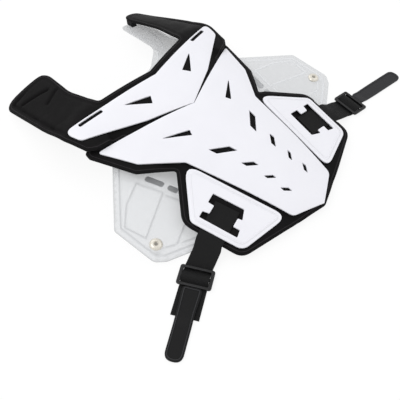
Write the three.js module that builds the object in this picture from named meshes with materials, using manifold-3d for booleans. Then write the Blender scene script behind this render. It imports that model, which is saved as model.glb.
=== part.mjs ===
// Motorcycle protective vest, lying on its back with the front up. Millimetres, +Z up.
// X is across the vest, +Y points from the waist to the neck.
// The front is drawn in its own frame, in which z = 0 is the middle of the chest, and is then
// tilted and lifted, because the shoulder pads hold the collar up while the waist lies down.
import * as THREE from 'three';
import * as BufferGeometryUtils from 'three/addons/utils/BufferGeometryUtils.js';
import Module from 'manifold-3d';

const wasm = await Module();
wasm.setup();

// Driving dimensions
const GAP = 0.3;
const PLATE = 2.5;
const PAD = 7.5;
const SHOULDER_PAD = 12;
const SHOULDER_RIM = 5;
const SHELL = 2.2;

// How the front lies
const FRONT_TILT = THREE.MathUtils.degToRad(9);
const FRONT_LIFT = 61.5;

// Bends of the white plates across the vest, and of the waist along it
const CHEST_BEND = 0.0013;
const COLLAR_BEND = 0.00088;
const WAIST_BEND = 0.00073;
const WAIST_START = -120;
const SIDE_DROP = 4.2;
const SIDE_SLOPE = 0.075;
const SIDE_RISE = 0.02;
const SIDE_MIDDLE = -130;
// The left wing lies a little higher than the right one
const WING_LIFT = { height: 5, from: 80, to: 170 };

// The groove in the chest pad between the chest plate and a side plate
const GROOVE = { width: 5, depth: 3, reach: 24, start: 50, end: 60 };
// How far past the chest plate's upper edge the collar pad starts and ends its rise to the collar plate,
// in the middle and at the tips of the wings
const COLLAR_RISE = { start: 12, end: 32, tipStart: -20, tipEnd: -8, tipFrom: 115, tipTo: 140 };

// Shoulder pads: where the strip runs and how it droops
const SHOULDER = {
  inner: 97, outer: 163, start: 98, end: 128, crown: 5,
  innerTop: -11.4, innerFall: 0.31, innerFrom: 107,
  outerTop: -34, outerFall: 0.39, outerCurl: 0.0003, outerFrom: 110,
};

// Straps
const WEBBING = { width: 37, thick: 1.6, start: -54, end: 5, step: 14, sunk: 0.6 };
const BUCKLE = { length: 29, width: 47, rail: 4.5, bar: 4, thick: 3.5, corner: 3 };
const TONGUE = { width: 21.5, thick: 3, ramp: 11, past: 1, tipAngles: [30, 55, 75] };
const STRAP_EXIT = { x: 151.5, y: -152.5 };
const PLATE_HEADING = 13;
// A strap swings to one side between the pad and the buckle. The left one has a sewn end beyond the
// buckle, and the right one stops at it.
const SWING = { start: 0, end: 36 };
const STRAPS = [
  { side: 'left', sign: -1, heading: 24.6, aside: -6.9, buckle: 51, webbingEnd: 106.5, tongueEnd: 162.5 },
  { side: 'right', sign: 1, heading: 13, aside: -1.5, buckle: 56.5, webbingEnd: 73.5, tongueEnd: 174 },
];

// The clear shell lies a little to one side of the front
const SHELL_SHIFT = 4;
const SHELL_TURN = THREE.MathUtils.degToRad(1.1);
const SPINE = { flat: 25, wing: 130, rise: 60, neck: 128, neckHeight: 18 };
const WING_HEIGHTS = [
  { y: -175, z: 3 },
  { y: -136, z: 5.5 },
  { y: -106, z: 10 },
  { y: -38, z: 19 },
  { y: 23, z: 23 },
  { y: 140, z: 31 },
  { y: 240, z: 45 },
];
const SHOULDER_ROLL = { from: 80, slope: 0.5, start: 90, end: 180 };
const RIVET = {
  x: 205.5, y: -92.7, head: 9, height: 3.4, rim: 1, shoulder: 6.5, crown: 2.9,
  dimple: 3, lip: 0.6, floor: 1.7, shank: 3, tail: 6, tailHeight: 1.4,
};

// Outlines of the right half, from the neck to the waist. r rounds the corner.
const CHEST_PLATE_EDGE = [
  { x: 0, y: -0.3, r: 0 },
  { x: 152.5, y: 51, r: 3 },
  { x: 129.5, y: -5.8, r: 14 },
  { x: 85, y: -56, r: 10 },
  { x: 48.4, y: -219.8, r: 12 },
  { x: 0, y: -241.4, r: 0 },
];
const COLLAR_PLATE_EDGE = [
  { x: 0, y: 77.5, r: 0 },
  { x: 164, y: 105.5, r: 10 },
  { x: 157, y: 78, r: 15 },
  { x: 70, y: 29, r: 60 },
  { x: 0, y: 0.3, r: 0 },
];
const CHEST_PAD_EDGE = [
  { x: 0, y: -6, r: 0 },
  { x: 146, y: 42.7, r: 0 },
  { x: 150, y: 58, r: 0 },
  { x: 157, y: 65, r: 2 },
  { x: 163, y: 66, r: 5 },
  { x: 164.5, y: 55, r: 4 },
  { x: 141, y: -12.5, r: 22 },
  { x: 102, y: -53, r: 5 },
  { x: 160, y: -109, r: 26 },
  { x: 142.5, y: -203, r: 22 },
  { x: 60, y: -228, r: 25 },
  { x: 0, y: -244.5, r: 12 },
];
const COLLAR_PAD_EDGE = [
  { x: 0, y: 89.5, r: 0 },
  { x: 93, y: 107, r: 8 },
  { x: 101, y: 160, r: 60 },
  { x: 95, y: 228, r: 15 },
  { x: 158, y: 254, r: 18 },
  { x: 168, y: 150, r: 60 },
  { x: 171.5, y: 100, r: 50 },
  { x: 162.5, y: 61.5, r: 6 },
  { x: 151, y: 51.2, r: 0 },
  { x: 112, y: 38.2, r: 0 },
  { x: 106, y: 29.8, r: 0 },
  { x: 0, y: -5.6, r: 0 },
];
const SHELL_EDGE = [
  { x: 0, y: 128, r: 0 },
  { x: 46, y: 134, r: 30 },
  { x: 84, y: 158, r: 22 },
  { x: 84, y: 236, r: 8 },
  { x: 121, y: 236, r: 10 },
  { x: 135, y: 110, r: 40 },
  { x: 156, y: 31, r: 15 },
  { x: 227, y: -37.8, r: 8 },
  { x: 226.5, y: -106.5, r: 14 },
  { x: 214, y: -119, r: 12 },
  { x: 130, y: -160, r: 20 },
  { x: 0, y: -172, r: 0 },
];
const SIDE_PLATE_EDGE = [
  { x: 88, y: -56, r: 14 },
  { x: 154, y: -114, r: 12 },
  { x: 134.5, y: -197.5, r: 16 },
  { x: 55.5, y: -213.5, r: 12 },
];

// Holes of the right half
const STRAP_WINDOW = [
  { x: 97.5, y: -116, r: 0 },
  { x: 112.5, y: -119, r: 0 },
  { x: 111, y: -128.5, r: 0 },
  { x: 124, y: -131, r: 0 },
  { x: 127.5, y: -121.8, r: 0 },
  { x: 137.5, y: -123.8, r: 0 },
  { x: 126.5, y: -181, r: 0 },
  { x: 115.5, y: -177, r: 0 },
  { x: 117.5, y: -167, r: 0 },
  { x: 104, y: -164.5, r: 0 },
  { x: 102, y: -171, r: 0 },
  { x: 87.5, y: -163, r: 0 },
];
const CHEST_TRIANGLE = [
  { x: 82.2, y: -4.1, r: 0 },
  { x: 47, y: -35.4, r: 0 },
  { x: 42.8, y: -26.9, r: 0 },
];
const COLLAR_TRIANGLE = [
  { x: 76.8, y: 73.3, r: 0 },
  { x: 44.7, y: 43.1, r: 0 },
  { x: 36.5, y: 54.7, r: 0 },
];
// Diamonds: middle, half of the long diagonal and half of the short one
const DIAMONDS = [
  { x: 36.6, y: -84.2, longX: 12.9, longY: 15.5, shortX: 9, shortY: 2.4 },
  { x: 28.6, y: -126.9, longX: 6.4, longY: 9.5, shortX: 4.8, shortY: 1.3 },
  { x: 25.2, y: -160.4, longX: 4.1, longY: 6.3, shortX: 3.2, shortY: 0.9 },
  { x: 24.6, y: -188.8, longX: 3, longY: 6, shortX: 2.8, shortY: 0.7 },
];
const COLLAR_SLOT = { from: { x: 102.5, y: 89.5 }, to: { x: 143, y: 96.5 }, width: 6 };
const SHELL_SLOT = { from: { x: 136, y: -16 }, to: { x: 128.5, y: -42.5 }, width: 7 };
const TAB = { x: 99, width: 14, y: 220, length: 20, corner: 4 };

// Facets: how far apart the points of a curved sheet lie, and how many steps a round has
const FRONT_STEP = 14;
const SHELL_STEP = 17;
const CORNER_STEPS = 4;
const HOLE_STEPS = 12;
const RIVET_STEPS = 16;
// Shortest round worth drawing, and the longest share of a side that a round may take
const LEAST_ROUND = 0.5;
const ROUND_SHARE = 0.48;
// Height of a cutting tool that reaches through the whole vest
const TALL = 400;

const MATERIALS = {
  white: { color: 0xf0f0f6, roughness: 0.32, metalness: 0 },
  foam: { color: 0x232024, roughness: 0.85, metalness: 0 },
  clear: { color: 0xdcdee0, roughness: 0.25, metalness: 0, transparent: true, opacity: 0.6 },
  webbing: { color: 0x1e1e1e, roughness: 0.8, metalness: 0 },
  buckle: { color: 0x18181a, roughness: 0.45, metalness: 0 },
  rubber: { color: 0x2d2d30, roughness: 0.6, metalness: 0 },
  rivet: { color: 0xd8d2c4, roughness: 0.3, metalness: 1 },
};

const { smoothstep, clamp, lerp, degToRad } = THREE.MathUtils;

// Surfaces of the front, z over x and y in the front's frame
function waistDrop(y) {
  return WAIST_BEND * Math.max(0, WAIST_START - y) ** 2;
}

function wingLift(x) {
  return WING_LIFT.height * smoothstep(-x, WING_LIFT.from, WING_LIFT.to);
}

function chestTop(x, y) {
  return wingLift(x) - CHEST_BEND * x * x - waistDrop(y);
}

function collarTop(x) {
  return wingLift(x) - COLLAR_BEND * x * x;
}

function sideTop(x, y) {
  return -SIDE_DROP - SIDE_SLOPE * Math.abs(x) + SIDE_RISE * (y - SIDE_MIDDLE);
}

// The chest pad's groove beside the chest plate: how much of a point is past it, and how deep it is there
function besideChestPlate(x, y) {
  const notch = CHEST_PLATE_EDGE[3];
  const corner = CHEST_PLATE_EDGE[4];
  const along = new THREE.Vector2(notch.x - corner.x, notch.y - corner.y).normalize();
  const out = (Math.abs(x) - notch.x) * along.y - (y - notch.y) * along.x;
  const share = smoothstep(out, 0, GROOVE.width) * smoothstep(-y, GROOVE.start, GROOVE.end);
  const aside = Math.abs(out - GROOVE.width / 2);
  const valley = GROOVE.depth * (1 - smoothstep(aside, GROOVE.width, GROOVE.reach));
  return { share, valley };
}

function chestPadTop(x, y) {
  const { share, valley } = besideChestPlate(x, y);
  return lerp(chestTop(x, y), sideTop(x, y), share) - valley - PLATE - GAP;
}

function chestPadBottom(x, y) {
  const { valley } = besideChestPlate(x, y);
  return chestPadTop(x, y) + valley - PAD;
}

// 0 at both ends of a span from 0 to 1, and 1 in its middle
function hump(t) {
  return 4 * t * (1 - t);
}

// Place across the shoulder strip, from 0 at the neck to 1 at the arm
function shoulderAcross(x) {
  return clamp((Math.abs(x) - SHOULDER.inner) / (SHOULDER.outer - SHOULDER.inner), 0, 1);
}

function shoulderTop(x, y) {
  const across = shoulderAcross(x);
  const reach = y - SHOULDER.outerFrom;
  const inner = SHOULDER.innerTop - SHOULDER.innerFall * (y - SHOULDER.innerFrom);
  const outer = SHOULDER.outerTop - SHOULDER.outerFall * reach - SHOULDER.outerCurl * reach * reach;
  return lerp(inner, outer, across) + SHOULDER.crown * hump(across);
}

function shoulderShare(y) {
  return smoothstep(y, SHOULDER.start, SHOULDER.end);
}

// The collar pad follows the chest plate's edge, then the collar plate, then the shoulder strips
function collarPadTop(x, y) {
  const chestEdge = CHEST_PLATE_EDGE[1];
  const past = y - (Math.abs(x) * chestEdge.y) / chestEdge.x;
  const tip = smoothstep(Math.abs(x), COLLAR_RISE.tipFrom, COLLAR_RISE.tipTo);
  const start = lerp(COLLAR_RISE.start, COLLAR_RISE.tipStart, tip);
  const end = lerp(COLLAR_RISE.end, COLLAR_RISE.tipEnd, tip);
  const rise = smoothstep(past, start, end);
  const collar = lerp(chestTop(x, y), collarTop(x), rise) - PLATE - GAP;
  return lerp(collar, shoulderTop(x, y), shoulderShare(y));
}

function collarPadBottom(x, y) {
  const strip = lerp(SHOULDER_RIM, SHOULDER_PAD, hump(shoulderAcross(x)));
  return collarPadTop(x, y) - lerp(PAD, strip, shoulderShare(y));
}

// Surface of the clear shell: a flat spine on the floor with wings that rise towards the shoulders
function wingHeight(y) {
  const rows = WING_HEIGHTS;
  const next = clamp(rows.findIndex((row) => row.y > y), 1, rows.length - 1);
  const low = rows[next - 1];
  const high = rows[next];
  return lerp(low.z, high.z, clamp((y - low.y) / (high.y - low.y), 0, 1));
}

function shellBottom(x, y) {
  const spine = SPINE.neckHeight * smoothstep(y, SPINE.rise, SPINE.neck);
  const wing = smoothstep(Math.abs(x), SPINE.flat, SPINE.wing);
  const roll = SHOULDER_ROLL.slope * Math.max(0, Math.abs(x) - SHOULDER_ROLL.from);
  const drop = roll * smoothstep(y, SHOULDER_ROLL.start, SHOULDER_ROLL.end);
  return lerp(spine, wingHeight(y) - SHELL, wing) - drop;
}

function shellTop(x, y) {
  return shellBottom(x, y) + SHELL;
}

// Solids: closed meshes to and from the boolean library
function toSolid(geometry) {
  geometry.deleteAttribute('normal');
  geometry.deleteAttribute('uv');
  const merged = BufferGeometryUtils.mergeVertices(geometry);
  return new wasm.Manifold(new wasm.Mesh({
    numProp: 3,
    vertProperties: new Float32Array(merged.attributes.position.array),
    triVerts: new Uint32Array(merged.index.array),
  }));
}

function toGeometry(solid) {
  const mesh = solid.getMesh();
  const geometry = new THREE.BufferGeometry();
  geometry.setAttribute('position', new THREE.BufferAttribute(new Float32Array(mesh.vertProperties), 3));
  geometry.setIndex(new THREE.BufferAttribute(new Uint32Array(mesh.triVerts), 1));
  geometry.computeVertexNormals();
  return geometry;
}

// Outlines: a closed ring of points with its corners rounded
function roundedRing(corners) {
  const ring = [];
  corners.forEach((corner, i) => {
    const here = new THREE.Vector2(corner.x, corner.y);
    const before = corners.at(i - 1);
    const after = corners[(i + 1) % corners.length];
    const back = new THREE.Vector2(before.x, before.y).sub(here);
    const on = new THREE.Vector2(after.x, after.y).sub(here);
    const half = back.angleTo(on) / 2;
    const room = ROUND_SHARE * Math.min(back.length(), on.length());
    const cut = Math.min(corner.r / Math.tan(half), room);
    if (cut < LEAST_ROUND) {
      ring.push(here);
      return;
    }
    const start = here.clone().addScaledVector(back.normalize(), cut);
    const end = here.clone().addScaledVector(on.normalize(), cut);
    const bend = new THREE.QuadraticBezierCurve(start, here, end);
    ring.push(...bend.getPoints(CORNER_STEPS));
  });
  return ring;
}

function mirrored(corners) {
  return corners.map((corner) => ({ ...corner, x: -corner.x })).reverse();
}

// A whole outline from its right half, whose first and last corners lie on the middle line
function bothSides(half) {
  return [...half, ...mirrored(half.slice(1, -1))];
}

function diamondRing({ x, y, longX, longY, shortX, shortY }) {
  return [
    { x: x + longX, y: y + longY, r: 0 },
    { x: x + shortX, y: y + shortY, r: 0 },
    { x: x - longX, y: y - longY, r: 0 },
    { x: x - shortX, y: y - shortY, r: 0 },
  ];
}

function slotRing({ from, to, width }) {
  const along = new THREE.Vector2(to.x - from.x, to.y - from.y).setLength(width / 2);
  return [
    { x: from.x - along.y, y: from.y + along.x, r: 0 },
    { x: from.x + along.y, y: from.y - along.x, r: 0 },
    { x: to.x + along.y, y: to.y - along.x, r: 0 },
    { x: to.x - along.y, y: to.y + along.x, r: 0 },
  ];
}

function circleRing({ x, y, r }) {
  const ring = new THREE.EllipseCurve(x, y, r, r).getPoints(HOLE_STEPS).slice(0, -1);
  return ring.map((point) => ({ x: point.x, y: point.y, r: 0 }));
}

// A sheet between two surfaces over a rectangle, as a closed grid. Sheets of one step share their
// grid lines, so sheets that follow each other stay parallel facet by facet.
function sheet(box, step, top, bottom) {
  const x0 = Math.floor(box.min.x / step);
  const y0 = Math.floor(box.min.y / step);
  const nx = Math.ceil(box.max.x / step) - x0;
  const ny = Math.ceil(box.max.y / step) - y0;
  const points = [];
  const faces = [];
  for (const surface of [top, bottom]) {
    for (let j = 0; j <= ny; j += 1) {
      for (let i = 0; i <= nx; i += 1) {
        const x = (x0 + i) * step;
        const y = (y0 + j) * step;
        points.push(x, y, surface(x, y));
      }
    }
  }
  const under = (nx + 1) * (ny + 1);
  const at = (i, j) => j * (nx + 1) + i;
  for (let j = 0; j < ny; j += 1) {
    for (let i = 0; i < nx; i += 1) {
      const [a, b, c, d] = [at(i, j), at(i + 1, j), at(i + 1, j + 1), at(i, j + 1)];
      faces.push(a, b, c, a, c, d);
      faces.push(a + under, c + under, b + under, a + under, d + under, c + under);
    }
  }
  const rim = [];
  for (let i = 0; i < nx; i += 1) rim.push(at(i, 0));
  for (let j = 0; j < ny; j += 1) rim.push(at(nx, j));
  for (let i = nx; i > 0; i -= 1) rim.push(at(i, ny));
  for (let j = ny; j > 0; j -= 1) rim.push(at(0, j));
  rim.forEach((p, i) => {
    const q = rim[(i + 1) % rim.length];
    faces.push(p, p + under, q + under, p, q + under, q);
  });
  const geometry = new THREE.BufferGeometry();
  geometry.setAttribute('position', new THREE.Float32BufferAttribute(points, 3));
  geometry.setIndex(faces);
  return geometry;
}

// An upright prism of an outline with holes, tall enough to cut through the whole vest
function prism(outline, holes) {
  const ring = roundedRing(outline);
  if (THREE.ShapeUtils.isClockWise(ring)) ring.reverse();
  const shape = new THREE.Shape(ring);
  shape.holes = holes.map((hole) => new THREE.Path(roundedRing(hole)));
  const geometry = new THREE.ExtrudeGeometry(shape, { depth: TALL, bevelEnabled: false });
  return geometry.translate(0, 0, -TALL / 2);
}

// A curved plate or pad: the part of a sheet that lies inside an outline
function cutSheet({ outline, holes = [], step, top, bottom }) {
  const points = roundedRing(outline);
  const box = new THREE.Box2().setFromPoints(points).expandByScalar(PLATE);
  return toSolid(sheet(box, step, top, bottom)).intersect(toSolid(prism(outline, holes)));
}

// A flat band through stations, each with its middle, its direction across and its half width
function band(stations, thick) {
  const points = [];
  const faces = [];
  stations.forEach(({ middle, across, up, half }) => {
    for (const [side, level] of [[-1, 1], [1, 1], [1, -1], [-1, -1]]) {
      const point = middle.clone().addScaledVector(across, side * half);
      points.push(point.addScaledVector(up, (level * thick) / 2));
    }
  });
  for (let i = 0; i + 1 < stations.length; i += 1) {
    for (let k = 0; k < 4; k += 1) {
      const [a, b] = [4 * i + k, 4 * i + ((k + 1) % 4)];
      faces.push(a, b + 4, b, a, a + 4, b + 4);
    }
  }
  const last = 4 * (stations.length - 1);
  faces.push(0, 1, 2, 0, 2, 3);
  faces.push(last, last + 2, last + 1, last, last + 3, last + 2);
  const geometry = new THREE.BufferGeometry().setFromPoints(points);
  geometry.setIndex(faces);
  return geometry;
}

function piece(name, geometry, look) {
  const mesh = new THREE.Mesh(geometry, new THREE.MeshStandardMaterial(MATERIALS[look]));
  mesh.name = name;
  return mesh;
}

const vest = new THREE.Group();
const front = new THREE.Group();
front.rotation.x = FRONT_TILT;
front.position.z = FRONT_LIFT;
front.updateMatrix();
const shell = new THREE.Group();
shell.position.x = SHELL_SHIFT;
shell.rotation.z = SHELL_TURN;
shell.updateMatrix();
vest.add(front, shell);

// White plates
function whitePlate(outline, holes, top) {
  const bottom = (x, y) => top(x, y) - PLATE;
  return toGeometry(cutSheet({ outline, holes, step: FRONT_STEP, top, bottom }));
}

function withMirrors(rings) {
  return rings.flatMap((ring) => [ring, mirrored(ring)]);
}

const chestHoles = withMirrors([CHEST_TRIANGLE, ...DIAMONDS.map(diamondRing)]);
const chestPlate = whitePlate(bothSides(CHEST_PLATE_EDGE), chestHoles, chestTop);
front.add(piece('chest_plate', chestPlate, 'white'));
const collarHoles = withMirrors([COLLAR_TRIANGLE, slotRing(COLLAR_SLOT)]);
const collarPlate = whitePlate(bothSides(COLLAR_PLATE_EDGE), collarHoles, collarTop);
front.add(piece('collar_plate', collarPlate, 'white'));
const leftPlate = whitePlate(mirrored(SIDE_PLATE_EDGE), [mirrored(STRAP_WINDOW)], sideTop);
front.add(piece('side_plate_left', leftPlate, 'white'));
const rightPlate = whitePlate(SIDE_PLATE_EDGE, [STRAP_WINDOW], sideTop);
front.add(piece('side_plate_right', rightPlate, 'white'));

// Straps: a row of stations over the pad, off its edge, down to the floor and through the buckle
const DROP = [
  { reach: 14, height: 12 },
  { reach: 23.5, height: 5 },
  { reach: 32, height: 1.2 },
];
// A strap's channel in the pad is open upwards by this much
const CHANNEL_ROOM = 4;
const FLOOR_LEVEL = GAP + WEBBING.thick / 2;
const BUCKLE_BOTTOM = FLOOR_LEVEL + WEBBING.thick / 2 + GAP;
const OVER_BAR = BUCKLE_BOTTOM + BUCKLE.thick + GAP + WEBBING.thick / 2;

function heading(sign, degrees) {
  return new THREE.Vector3(sign * Math.cos(degToRad(degrees)), -Math.sin(degToRad(degrees)), 0);
}

function sideways(direction) {
  return new THREE.Vector3(-direction.y, direction.x, 0);
}

function padStation(sign, reach) {
  const along = heading(sign, PLATE_HEADING);
  const x = sign * STRAP_EXIT.x + along.x * reach;
  const y = STRAP_EXIT.y + along.y * reach;
  const level = WEBBING.thick / 2 + WEBBING.sunk;
  const middle = new THREE.Vector3(x, y, sideTop(x, y) - PLATE - GAP - level);
  const aside = sideways(along);
  const far = new THREE.Vector3(x + aside.x, y + aside.y, 0);
  far.z = sideTop(far.x, far.y) - PLATE - GAP - level;
  const across = far.sub(middle).normalize();
  return { middle: middle.applyMatrix4(front.matrix), across: across.transformDirection(front.matrix) };
}

function floorStation(strap, reach, height) {
  const along = heading(strap.sign, strap.heading);
  const exit = new THREE.Vector3(strap.sign * STRAP_EXIT.x, STRAP_EXIT.y, 0).applyMatrix4(front.matrix);
  const across = sideways(along);
  const swing = strap.aside * smoothstep(reach, SWING.start, SWING.end);
  const middle = exit.addScaledVector(along, reach).addScaledVector(across, swing).setZ(height);
  return { middle, across };
}

// Each station's upward direction is square to the band's own run
function squared(stations) {
  return stations.map((station, i) => {
    const before = stations[Math.max(0, i - 1)].middle;
    const after = stations[Math.min(stations.length - 1, i + 1)].middle;
    const run = after.clone().sub(before).normalize();
    const up = run.clone().cross(station.across).normalize();
    return { ...station, up };
  });
}

function overPad(strap, half) {
  const stations = [];
  for (let along = WEBBING.start; along < WEBBING.end; along += WEBBING.step) {
    stations.push({ ...padStation(strap.sign, along), half });
  }
  for (const row of DROP) stations.push({ ...floorStation(strap, row.reach, row.height), half });
  return stations;
}

function throughBuckle(strap, half) {
  const { length, bar } = BUCKLE;
  const rows = [
    { reach: strap.buckle - length / 2 + bar, height: FLOOR_LEVEL },
    { reach: strap.buckle - bar / 2, height: OVER_BAR },
    { reach: strap.buckle + bar / 2, height: OVER_BAR },
    { reach: strap.buckle + length / 2 - bar, height: FLOOR_LEVEL },
    { reach: strap.webbingEnd, height: FLOOR_LEVEL },
  ];
  return rows.map((row) => ({ ...floorStation(strap, row.reach, row.height), half }));
}

function buckleGeometry() {
  const { length, width, rail, bar, thick, corner } = BUCKLE;
  const shape = new THREE.Shape(roundedRing([
    { x: -length / 2, y: -width / 2, r: corner },
    { x: length / 2, y: -width / 2, r: corner },
    { x: length / 2, y: width / 2, r: corner },
    { x: -length / 2, y: width / 2, r: corner },
  ]));
  const frame = toSolid(new THREE.ExtrudeGeometry(shape, { depth: thick, bevelEnabled: false }));
  const windowLength = length / 2 - 1.5 * bar;
  const windows = [-1, 1].map((side) => {
    const box = new THREE.BoxGeometry(windowLength, width - 2 * rail, TALL);
    return toSolid(box.translate((side * (bar + windowLength)) / 2, 0, 0));
  });
  return toGeometry(frame.subtract(windows[0]).subtract(windows[1]));
}

// A tongue lies on the webbing, steps down off its end and has a round tip
function tongueStations(strap) {
  const start = strap.buckle + BUCKLE.length / 2 + GAP;
  const onWebbing = FLOOR_LEVEL + WEBBING.thick / 2 + GAP + TONGUE.thick / 2;
  const onFloor = GAP + TONGUE.thick / 2;
  const half = TONGUE.width / 2;
  const offWebbing = strap.webbingEnd + TONGUE.past;
  const tip = strap.tongueEnd - half;
  const rows = [
    { reach: start, height: onWebbing, half },
    { reach: offWebbing, height: onWebbing, half },
    { reach: offWebbing + TONGUE.ramp, height: onFloor, half },
    { reach: tip, height: onFloor, half },
  ];
  for (const degrees of TONGUE.tipAngles) {
    const turn = degToRad(degrees);
    rows.push({ reach: tip + half * Math.sin(turn), height: onFloor, half: half * Math.cos(turn) });
  }
  return rows.map((row) => ({ ...floorStation(strap, row.reach, row.height), half: row.half }));
}

const channels = [];
for (const strap of STRAPS) {
  const half = WEBBING.width / 2;
  const webbing = squared([...overPad(strap, half), ...throughBuckle(strap, half)]);
  vest.add(piece(`strap_${strap.side}`, band(webbing, WEBBING.thick), 'webbing'));
  const channel = squared(overPad(strap, half + GAP));
  channel.forEach((row) => row.middle.addScaledVector(row.up, CHANNEL_ROOM / 2));
  channels.push(band(channel, WEBBING.thick + 2 * GAP + CHANNEL_ROOM));

  const buckle = piece(`buckle_${strap.side}`, buckleGeometry(), 'buckle');
  const seat = floorStation(strap, strap.buckle, BUCKLE_BOTTOM);
  buckle.position.copy(seat.middle);
  buckle.rotation.z = -strap.sign * degToRad(strap.heading);
  vest.add(buckle);

  const tongue = squared(tongueStations(strap));
  vest.add(piece(`tongue_${strap.side}`, band(tongue, TONGUE.thick), 'rubber'));
}

// Pads. The straps lie in shallow channels of the chest pad.
const toFront = front.matrix.clone().invert();
const wholePad = cutSheet({
  outline: bothSides(CHEST_PAD_EDGE), step: FRONT_STEP, top: chestPadTop, bottom: chestPadBottom,
});
const chestPad = channels.reduce(
  (pad, channel) => pad.subtract(toSolid(channel.applyMatrix4(toFront))),
  wholePad,
);
front.add(piece('chest_pad', toGeometry(chestPad), 'foam'));
const collarPad = cutSheet({
  outline: bothSides(COLLAR_PAD_EDGE), step: FRONT_STEP, top: collarPadTop, bottom: collarPadBottom,
});
front.add(piece('collar_pad', toGeometry(collarPad), 'foam'));

// Clear shell with its slots and rivets
const rivetHole = circleRing({ x: RIVET.x, y: RIVET.y, r: RIVET.shank + 2 * GAP });
const shellSolid = cutSheet({
  outline: bothSides(SHELL_EDGE), holes: withMirrors([slotRing(SHELL_SLOT), rivetHole]),
  step: SHELL_STEP, top: shellTop, bottom: shellBottom,
});
shell.add(piece('back_plate', toGeometry(shellSolid), 'clear'));

function rivetGeometry() {
  const { head, height, rim, shoulder, crown, dimple, lip, floor, shank, tail, tailHeight } = RIVET;
  const under = -SHELL - 2 * GAP;
  const profile = [
    { r: 0, z: under - tailHeight },
    { r: tail, z: under - tailHeight },
    { r: tail, z: under },
    { r: shank, z: under },
    { r: shank, z: 0 },
    { r: head, z: 0 },
    { r: head, z: rim },
    { r: shoulder, z: crown },
    { r: dimple + lip, z: height },
    { r: dimple, z: floor },
    { r: 0, z: floor },
  ];
  const points = profile.map(({ r, z }) => new THREE.Vector2(r, z));
  return new THREE.LatheGeometry(points, RIVET_STEPS).rotateX(Math.PI / 2);
}

for (const strap of STRAPS) {
  const rivet = piece(`back_rivet_${strap.side}`, rivetGeometry(), 'rivet');
  const x = strap.sign * RIVET.x;
  const slope = (shellTop(x, RIVET.y + 1) - shellTop(x, RIVET.y - 1)) / 2;
  rivet.position.set(x, RIVET.y, shellTop(x, RIVET.y) + GAP);
  rivet.rotation.x = Math.atan(slope);
  shell.add(rivet);
}

// Shoulder tabs fill the room between the shell's shoulders and the pads' undersides
const shoulders = new THREE.Box2().setFromPoints(roundedRing(bothSides(COLLAR_PAD_EDGE)));
shoulders.expandByScalar(TAB.length);
const belowTabs = sheet(shoulders, SHELL_STEP, (x, y) => shellTop(x, y) + GAP, () => -TALL);
const aboveTabs = sheet(shoulders, FRONT_STEP, () => TALL, (x, y) => collarPadBottom(x, y) - GAP);
const shellRoom = toSolid(belowTabs.applyMatrix4(shell.matrix));
const padRoom = toSolid(aboveTabs.applyMatrix4(front.matrix));
for (const strap of STRAPS) {
  const right = [
    { x: TAB.x, y: TAB.y, r: 0 },
    { x: TAB.x + TAB.width, y: TAB.y, r: 0 },
    { x: TAB.x + TAB.width, y: TAB.y + TAB.length, r: TAB.corner },
    { x: TAB.x, y: TAB.y + TAB.length, r: TAB.corner },
  ];
  const block = toSolid(prism(strap.sign > 0 ? right : mirrored(right), []));
  const tab = block.subtract(shellRoom).subtract(padRoom);
  vest.add(piece(`shoulder_tab_${strap.side}`, toGeometry(tab), 'webbing'));
}

// The origin is on the floor under the middle of the vest
vest.updateMatrixWorld(true);
const extent = new THREE.Box3().setFromObject(vest, true);
const middle = extent.getCenter(new THREE.Vector3());
vest.position.set(-middle.x, -middle.y, -extent.min.z);
vest.updateMatrixWorld(true);

export default vest;
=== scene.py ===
"""Motorcycle protective vest lying on its back: pieces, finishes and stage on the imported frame."""

import math
from contextlib import contextmanager
from types import SimpleNamespace

import bpy
import numpy as np
from bpy.props import FloatProperty, FloatVectorProperty, PointerProperty
from mathutils import Matrix, Vector


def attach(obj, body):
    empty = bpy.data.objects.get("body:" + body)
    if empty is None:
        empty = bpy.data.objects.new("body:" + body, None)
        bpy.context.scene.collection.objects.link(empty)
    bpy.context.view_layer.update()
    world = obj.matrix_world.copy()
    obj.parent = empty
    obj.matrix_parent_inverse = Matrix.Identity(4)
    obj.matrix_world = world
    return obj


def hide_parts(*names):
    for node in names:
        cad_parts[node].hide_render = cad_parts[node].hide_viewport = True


bl_info = {
    "name": "Protective Vest",
    "version": (1, 0, 0),
    "blender": (4, 5, 0),
    "location": "View3D > Sidebar > Vest",
    "description": "Builds a motorcycle protective vest piece by piece",
    "category": "Add Mesh",
}

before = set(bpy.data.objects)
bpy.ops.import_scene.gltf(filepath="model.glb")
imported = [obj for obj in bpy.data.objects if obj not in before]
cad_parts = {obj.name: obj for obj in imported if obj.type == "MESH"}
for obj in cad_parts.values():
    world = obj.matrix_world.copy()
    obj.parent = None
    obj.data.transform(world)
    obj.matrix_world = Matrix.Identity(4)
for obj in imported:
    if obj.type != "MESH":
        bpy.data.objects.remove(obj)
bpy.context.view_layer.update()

# Lengths below are in millimetres. The front is drawn flat in its own frame, x across and y up
# the body, and the shell of the back in another.
MM = 0.001
VEST_OFFSET = (-9.01178, -9.694183, 0)
FRONT_TILT = math.radians(9)
FRONT_LIFT = 61.5
SHELL_TURN = math.radians(1.1)
SHELL_SHIFT = 4

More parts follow.
